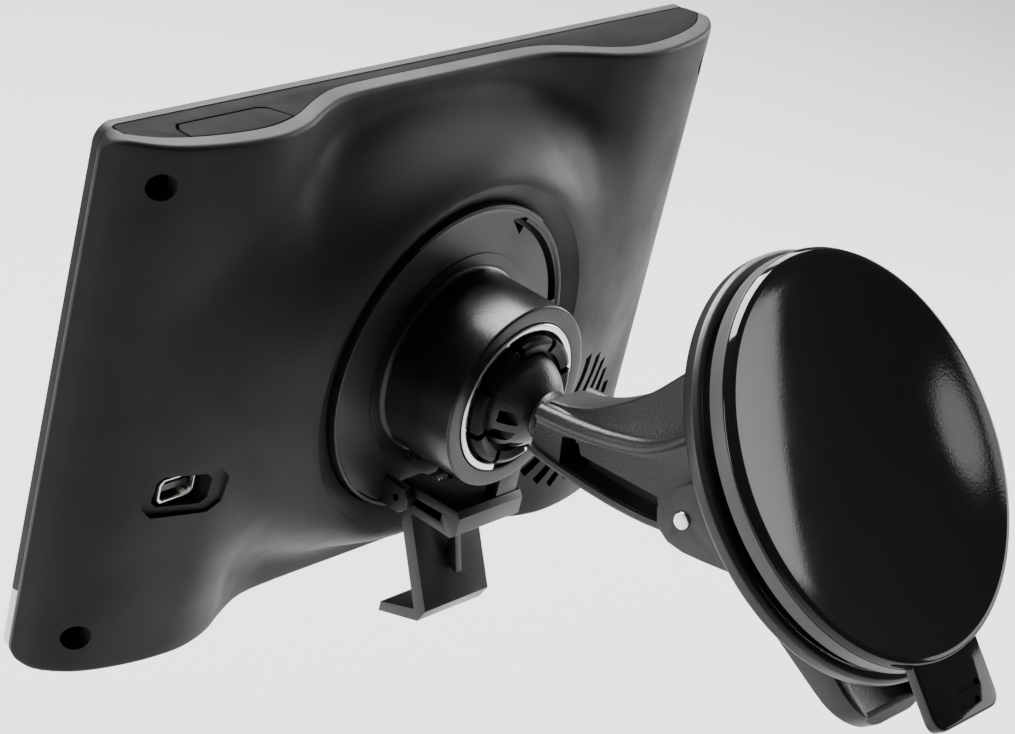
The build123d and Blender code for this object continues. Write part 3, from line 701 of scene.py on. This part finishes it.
def make_ball_liner():
    """Thin cup between the ball and its collet."""
    profile = ball_profile(BALL_R + 0.06, 166, 79, 30) + ball_profile(BALL_R + 0.78, 79, 166, 30)
    piece(smooth(lathe("ball_liner_cup", profile, 128)), "ball_liner", "inner_plastic", "ball_liner")


make_disc()
make_housing()
make_retaining_ring()
make_ball_socket()
make_ball_liner()
refined("release_lever", "release_lever", "lever_plastic", 0.35)


# ---------------------------------------------------------------- suction foot
# back of the base plate as (radius, out); screws as distance down the face
PLATE_BACK = [(14.5, -16), (15.5, -11.5), (18.5, -9.2), (22, -8.6), (32.2, -8.4)]
PLATE_SCREWS = (-21.5, -17.4)
# heights along the arm, as (y, z): the flanks' upper edge, the middle of the top, the underside
RIDGE = [(43.5, 4.9), (44.6, 5.0), (51.2, 5.8), (58.8, 7.4), (65.5, 10.0), (72, 15.6), (80, 26), (104, 58)]
CROWN = [(43.5, 5.0), (47.3, 5.9), (51.6, 7.8), (55.1, 10.1), (58.1, 12.5), (61.1, 15.4), (63.9, 18.8),
         (67.5, 23.5), (71, 28.5), (75, 35), (104, 84)]
UNDERSIDE = [(43.5, -3.3), (50, -4.0), (60, -4.3), (67, -3.9), (71, -3.3), (75, -2.6), (79, -1.3),
             (86, 1.5), (95, 3.4), (104, 5)]
# outlines in (y, z) of what is cut into the arm's flanks
DEEP_SLOT = [(48.8, 1.9), (51.4, 2.7), (52.7, 0.4), (68.6, 1.0), (69.8, -2.3), (60, -3.0), (49.5, -2.6)]
WEB_PANEL = [(50.5, 0.5), (52.2, 2.7), (56.2, 3.9), (66.6, 6.6), (68.6, 5.3), (69.0, 1.4), (66, -1)]


def cup_drum(r, out0, out1, down=0, steps=64):
    """Cylinder along the cup's axis, moved down the face."""
    drum = lathe("drum", [(0, out0), (r, out0), (r, out1), (0, out1)], steps, cup=True)
    drum.data.transform(Matrix.Translation(CUP_DOWN * down * MM))
    return drum


def cup_prism(name, outline, x0, x1):
    """Plate across X from (down, out) corners."""
    return prism(name, [cup_yz(down, out) for down, out in outline], x0, x1, "x")


def cup_flat(name, outline, out0, out1):
    """Plate along the cup's axis from (x, down) corners."""
    return prism(name, outline, out0, out1, "z", at_cup)


def round_rect(width, height, r, x=0.0, y=0.0, steps=6):
    """Outline of a rectangle with rounded corners about (x, y)."""
    w, h = width / 2, height / 2
    return rounded([(x - w, y - h), (x + w, y - h), (x + w, y + h), (x - w, y + h)], r, steps)


def make_suction_cup():
    """Dished rubber cup with its stem and pull tab, and the matte band round its side, painted lighter grey
    as a highlight.
    """
    lip, steps = 30.6, 14
    face = [(lip * k / steps, -CUP_DISH * (1 - (k / steps) ** 2)) for k in range(steps + 1)]
    face += [(31.4, -0.1), (CUP_R, -1.0), (CUP_R, -3.8), (31.3, -4.4)]
    back = [(13, -4.5), (10.5, -5.4), (10.5, -12.8), (3.7, -12.8)]
    back += [(3.7, -11.1), (8, -11.1), (8, -4.6), (0, -4.6)]
    cup = lathe("suction_cup_body", rounded(face + back, 0.5, 4, closed=False), 220, cup=True)
    tab = bevelled(cup_flat("tab", round_rect(17, 14, 2.6, 0, 34.2), -2.6, -0.4), 0.45, 3)
    grooves = [prism("groove", strip, -0.8, 0.2, "z", at_cup)
               for strip in (round_rect(6, 0.9, 0.4, -2.0, 36.6), round_rect(6.3, 0.9, 0.4, -0.6, 39.0))]
    cut(tab, joined("grooves", *grooves))
    combine(cup, tab, "UNION")
    piece(smooth(cup), "suction_base", "cup_rubber", "suction_cup")
    # band round the cup's side, which carries the painted highlight
    inner, outer, front, rear = 31.4, CUP_R + 0.12, -1.2, -3.6
    section = rounded([(inner, front), (outer, front), (outer, rear), (inner, rear)], 0.1)
    edge = piece(smooth(lathe("suction_cup_edge", section, 220, cup=True)), "suction_base", "cup_rubber")
    edge.data.materials[0] = MATERIALS["cup_side_painted_highlight"]  # the rubber's slot, with a duller look and a lighter grey painted on as the highlight along the cup's side


def make_base_plate():
    """Dished plate behind the cup, with its rim, hub and two screw holes."""
    front = [(PLATE_R, -7.7), (PLATE_R, -6.0), (32.6, -5.4), (31.4, -5.4), (31.0, -6.2)]
    hub = [(11.2, -6.6), (11.2, -14.2), (3.4, -14.2), (3.4, -16)]
    plate = lathe("base_plate_dish", rounded(PLATE_BACK + front + hub, 0.55, 4), 220, cup=True)
    for down in PLATE_SCREWS:
        cut(plate, cup_drum(1.2, -20, -2, down, 32))
    piece(smooth(plate), "suction_base", "base_plastic", "base_plate")


def arm_section(y):
    """Half outline of the arm in (x, z) at one station: underside, flank, bead, then up to the crown."""
    low, ridge, crown = through(UNDERSIDE, y), through(RIDGE, y), through(CROWN, y)
    top_half = 4.2 - 0.9 * ease((y - 50) / 20)
    lift = max(crown - ridge, 0.0)
    dip = min(0.9, 0.35 + 0.25 * lift)
    web, bead = ARM_HALF - 0.8, 1.3
    points = [(0, low), (3, low), (ARM_HALF - 0.5, low), (ARM_HALF - 0.12, low + 0.15), (ARM_HALF, low + 0.5)]
    points += [(ARM_HALF, low + 1.0), (ARM_HALF - 0.15, low + 1.25), (web, low + 1.35)]
    points += [(web, low + 1.35 + (ridge - 4.6 - low) * t) for t in (0.5, 1.0)]
    points += [(web + 0.12, ridge - 2.75), (web + 0.35, ridge - 2.45)]
    points += [(ARM_HALF - 1.2 + bead * cos(a), ridge - bead + bead * sin(a)) for a in
               (-0.6, -0.3, 0, 0.35, 0.7, 1.05, 1.4, 1.75, 2.1)]
    points += [(ARM_HALF - 2.1, ridge - dip), (ARM_HALF - 2.4, ridge - dip)]
    steps = 12
    for k in range(1, steps + 1):
        t = k / steps
        x = ARM_HALF - 2.4 + (top_half - ARM_HALF + 2.4) * (1 - (1 - t) ** 1.7)
        points.append((x, ridge - dip + (lift + dip - 0.5) * t**1.25))
    points += [(top_half - 0.5 + 0.5 * cos(a), crown - 0.5 + 0.5 * sin(a)) for a in (0.4, 0.8, 1.2, pi / 2)]
    points += [(top_half * 0.4, crown + 0.1), (0, crown + 0.12)]
    return points


def loft(name, stations, section):
    """Closed solid through mirrored cross-sections in (x, z) at stations along y."""
    verts, faces, count = [], [], 0
    for y in stations:
        half = section(y)
        outline = half + [(-x, z) for x, z in half[-2:0:-1]]
        count = len(outline)
        verts += [(x, y, z) for x, z in outline]
    for s in range(len(stations) - 1):
        faces += band(list(range(s * count, (s + 1) * count)), list(range((s + 1) * count, (s + 2) * count)))
    faces += [tuple(range(count)), tuple(range(len(verts) - count, len(verts)))]
    return mesh_object(name, verts, faces)


def make_arm():
    """Ball, neck and ribbed beam, cut to sit on the base plate; the screw bores are cut first."""
    start, spacing, count = 43.5, 0.75, 81
    stations = [start + spacing * k for k in range(count)]
    beam = loft("arm_beam", stations, arm_section)
    throat = [(4.3, 40.8), (4.2, 41.6), (4.5, 43.0), (5.2, 44.0), (5.2, 45), (0, 45)]
    neck = lathe("neck", ball_profile(BALL_R, 180, 28, 60) + throat, 128)
    pockets = [prism("pocket", round_rect(2.3, 2.2, 0.3, side * x, z), 33.0, 42, "y")
               for side in (-1, 1) for x, z in ((6.4, -0.3), (6.1, -3.9), (3.2, -6.4))]
    for down in PLATE_SCREWS:
        cut(beam, cup_drum(0.95, -14, -2, down, 32))
    combine(beam, cut(neck, joined("pockets", *pockets)), "UNION")
    clear = 9  # past the arm's flanks
    panel, deep_slot = rounded(WEB_PANEL, 1.3), rounded(DEEP_SLOT, 0.6)
    panels = [prism("panel", panel, side * (ARM_HALF - 1.25), side * clear, "x") for side in (-1, 1)]
    cut(beam, joined("panels", *panels))
    cuts = [prism("web", deep_slot, side * 2.0, side * clear, "x") for side in (-1, 1)]
    cuts.append(prism("cored", round_rect(4.6, 3.6, 0.5, 6.2, -4.4), 30.5, 35.2, "y"))
    cut(beam, joined("cuts", *cuts))
    cut(beam, lathe("plate", [(0, -16)] + PLATE_BACK + [(95, -8.4), (95, 90), (0, 90)], 220, cup=True))
    rod, spring = 3.4, 5.2
    bore = [(0, -14), (rod, -14), (rod, -16), (spring, -16), (spring, -26), (rod, -26), (rod, -38), (0, -38)]
    cut(beam, lathe("bore", bore, 64, cup=True))
    cut(beam, cup_prism("slot", [(-1.7, -33.2), (1.7, -33.2), (1.7, -26.5), (-1.7, -26.5)], -clear, clear))
    piece(smooth(beam, 40), "suction_base", "arm_plastic", "arm")


make_suction_cup()
make_base_plate()
make_arm()
refined("lock_lever", "lock_lever", "arm_plastic", 0.45)
refined("lever_pin", "pull_rod", "pin_steel", 0.25)
refined("release_pin", "mount_head", "pin_steel", 0.15)
refined("case_screws", "navigator", "screw_steel", 0.12, 2)


# ---------------------------------------------------------------- set, camera and light
FLOOR_SIZE, FLOOR_DROP = 6, 0.12  # metres; the mount hangs clear of the floor
CAMERA_PLACE = (0.3843, 0.1973, 0.2028)
CAMERA_AIM = (-0.7437, -0.5124, -0.4293)
CAMERA_ROLL = 13.94
LENS_MM, SENSOR_MM = 114.7, 36

low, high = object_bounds()
bpy.ops.mesh.primitive_plane_add(size=FLOOR_SIZE, location=(0, 0, low.z - FLOOR_DROP))
floor = bpy.context.object
floor.name = "floor"
floor.data.materials.append(material("floor_paper", (0.93, 0.93, 0.93), 0.8, mottle=0.0))

camera = bpy.data.objects.new("camera", bpy.data.cameras.new("camera"))
bpy.context.scene.collection.objects.link(camera)
camera.location = CAMERA_PLACE
aim = Vector(CAMERA_AIM).to_track_quat("-Z", "Y")
camera.rotation_mode = "QUATERNION"
camera.rotation_quaternion = aim @ Quaternion((0, 0, 1), radians(CAMERA_ROLL))
camera.data.lens = LENS_MM
camera.data.sensor_width = SENSOR_MM
camera.data.clip_start = 0.01
camera.data.dof.use_dof = False
bpy.context.scene.camera = camera


def soft_light(name, place, target, width, height, watts):
    """Oval area light turned to face a target; places and sizes in metres."""
    lamp = bpy.data.lights.new(name, "AREA")
    lamp.shape, lamp.size, lamp.size_y, lamp.energy = "ELLIPSE", width, height, watts
    obj = bpy.data.objects.new(name, lamp)
    bpy.context.scene.collection.objects.link(obj)
    obj.location = place
    obj.rotation_euler = (Vector(target) - Vector(place)).to_track_quat("-Z", "Y").to_euler()


middle, cup_face, navigator_back = (low + high) / 2, (0, 0, 0), (0, -0.09, 0)
soft_light("overhead", (-0.14, -0.40, 0.58), middle, 0.60, 0.45, 18)
soft_light("right_fill", (-0.68, 0.0, 0.10), navigator_back, 0.30, 0.30, 2.6)
soft_light("left_strip", (0.46, -0.34, 0.10), middle, 0.12, 0.50, 1.2)
soft_light("rim", (-0.58, -0.55, 0.36), navigator_back, 0.50, 0.26, 2.6)
soft_light("cup_sweep", (-0.544, 0.242, 0.088), cup_face, 0.36, 0.14, 0.34)
soft_light("cup_spot", (-0.340, 0.295, 0.252), cup_face, 0.035, 0.035, 0.008)
world = bpy.data.worlds.new("studio")
world.use_nodes = True
background = world.node_tree.nodes["Background"]
background.inputs["Color"].default_value = (0.9, 0.91, 0.93, 1)
background.inputs["Strength"].default_value = 0.14
bpy.context.scene.world = world
